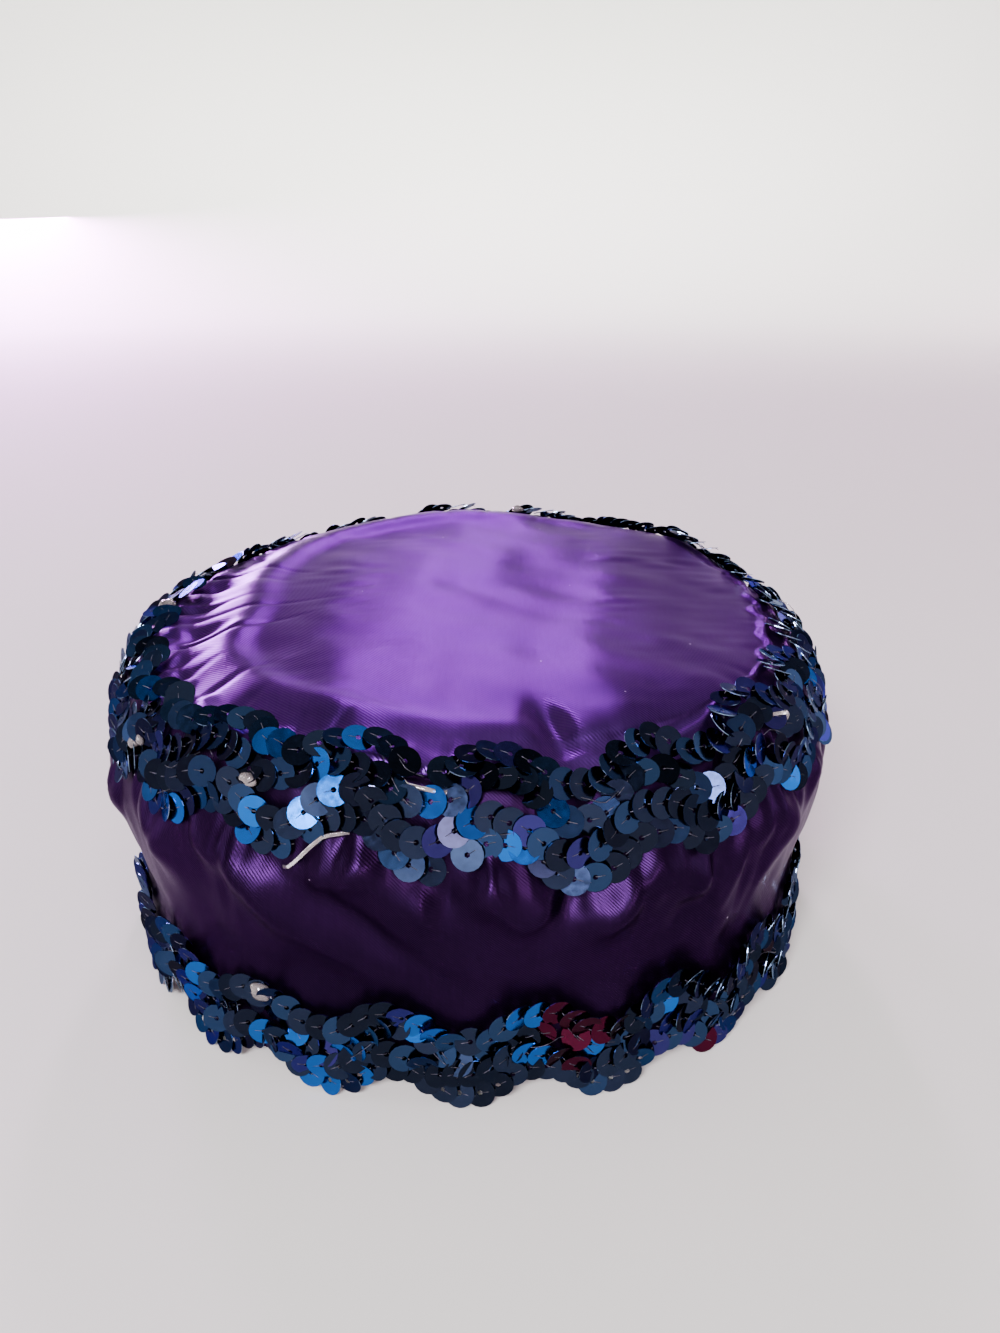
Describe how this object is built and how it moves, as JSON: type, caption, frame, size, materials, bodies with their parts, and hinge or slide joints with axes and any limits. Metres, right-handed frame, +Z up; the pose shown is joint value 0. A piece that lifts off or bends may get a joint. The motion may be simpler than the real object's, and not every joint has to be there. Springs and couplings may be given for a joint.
{
  "type": "pillbox hat",
  "caption": "Oval satin pillbox hat with a soft gathered crown, a low side wall and a wavy sequin trim round the top edge and the hem, open below for the head.",
  "frame": {"origin": "middle of the hat's footprint, on the surface that it rests on", "axes": "+Z up through the crown, -Y to the front of the hat, +X to the viewer's right when the front faces the viewer"},
  "size_m": [0.1667, 0.1878, 0.0758],
  "materials": {
    "satin": "purple satin with a soft sheen",
    "sequins": "dark blue metallic film sequins, overlapping"
  },
  "bodies": {
    "root": {"crown": "satin", "side_wall": "satin", "top_trim": "sequins", "hem_trim": "sequins"}
  },
  "joints": []
}
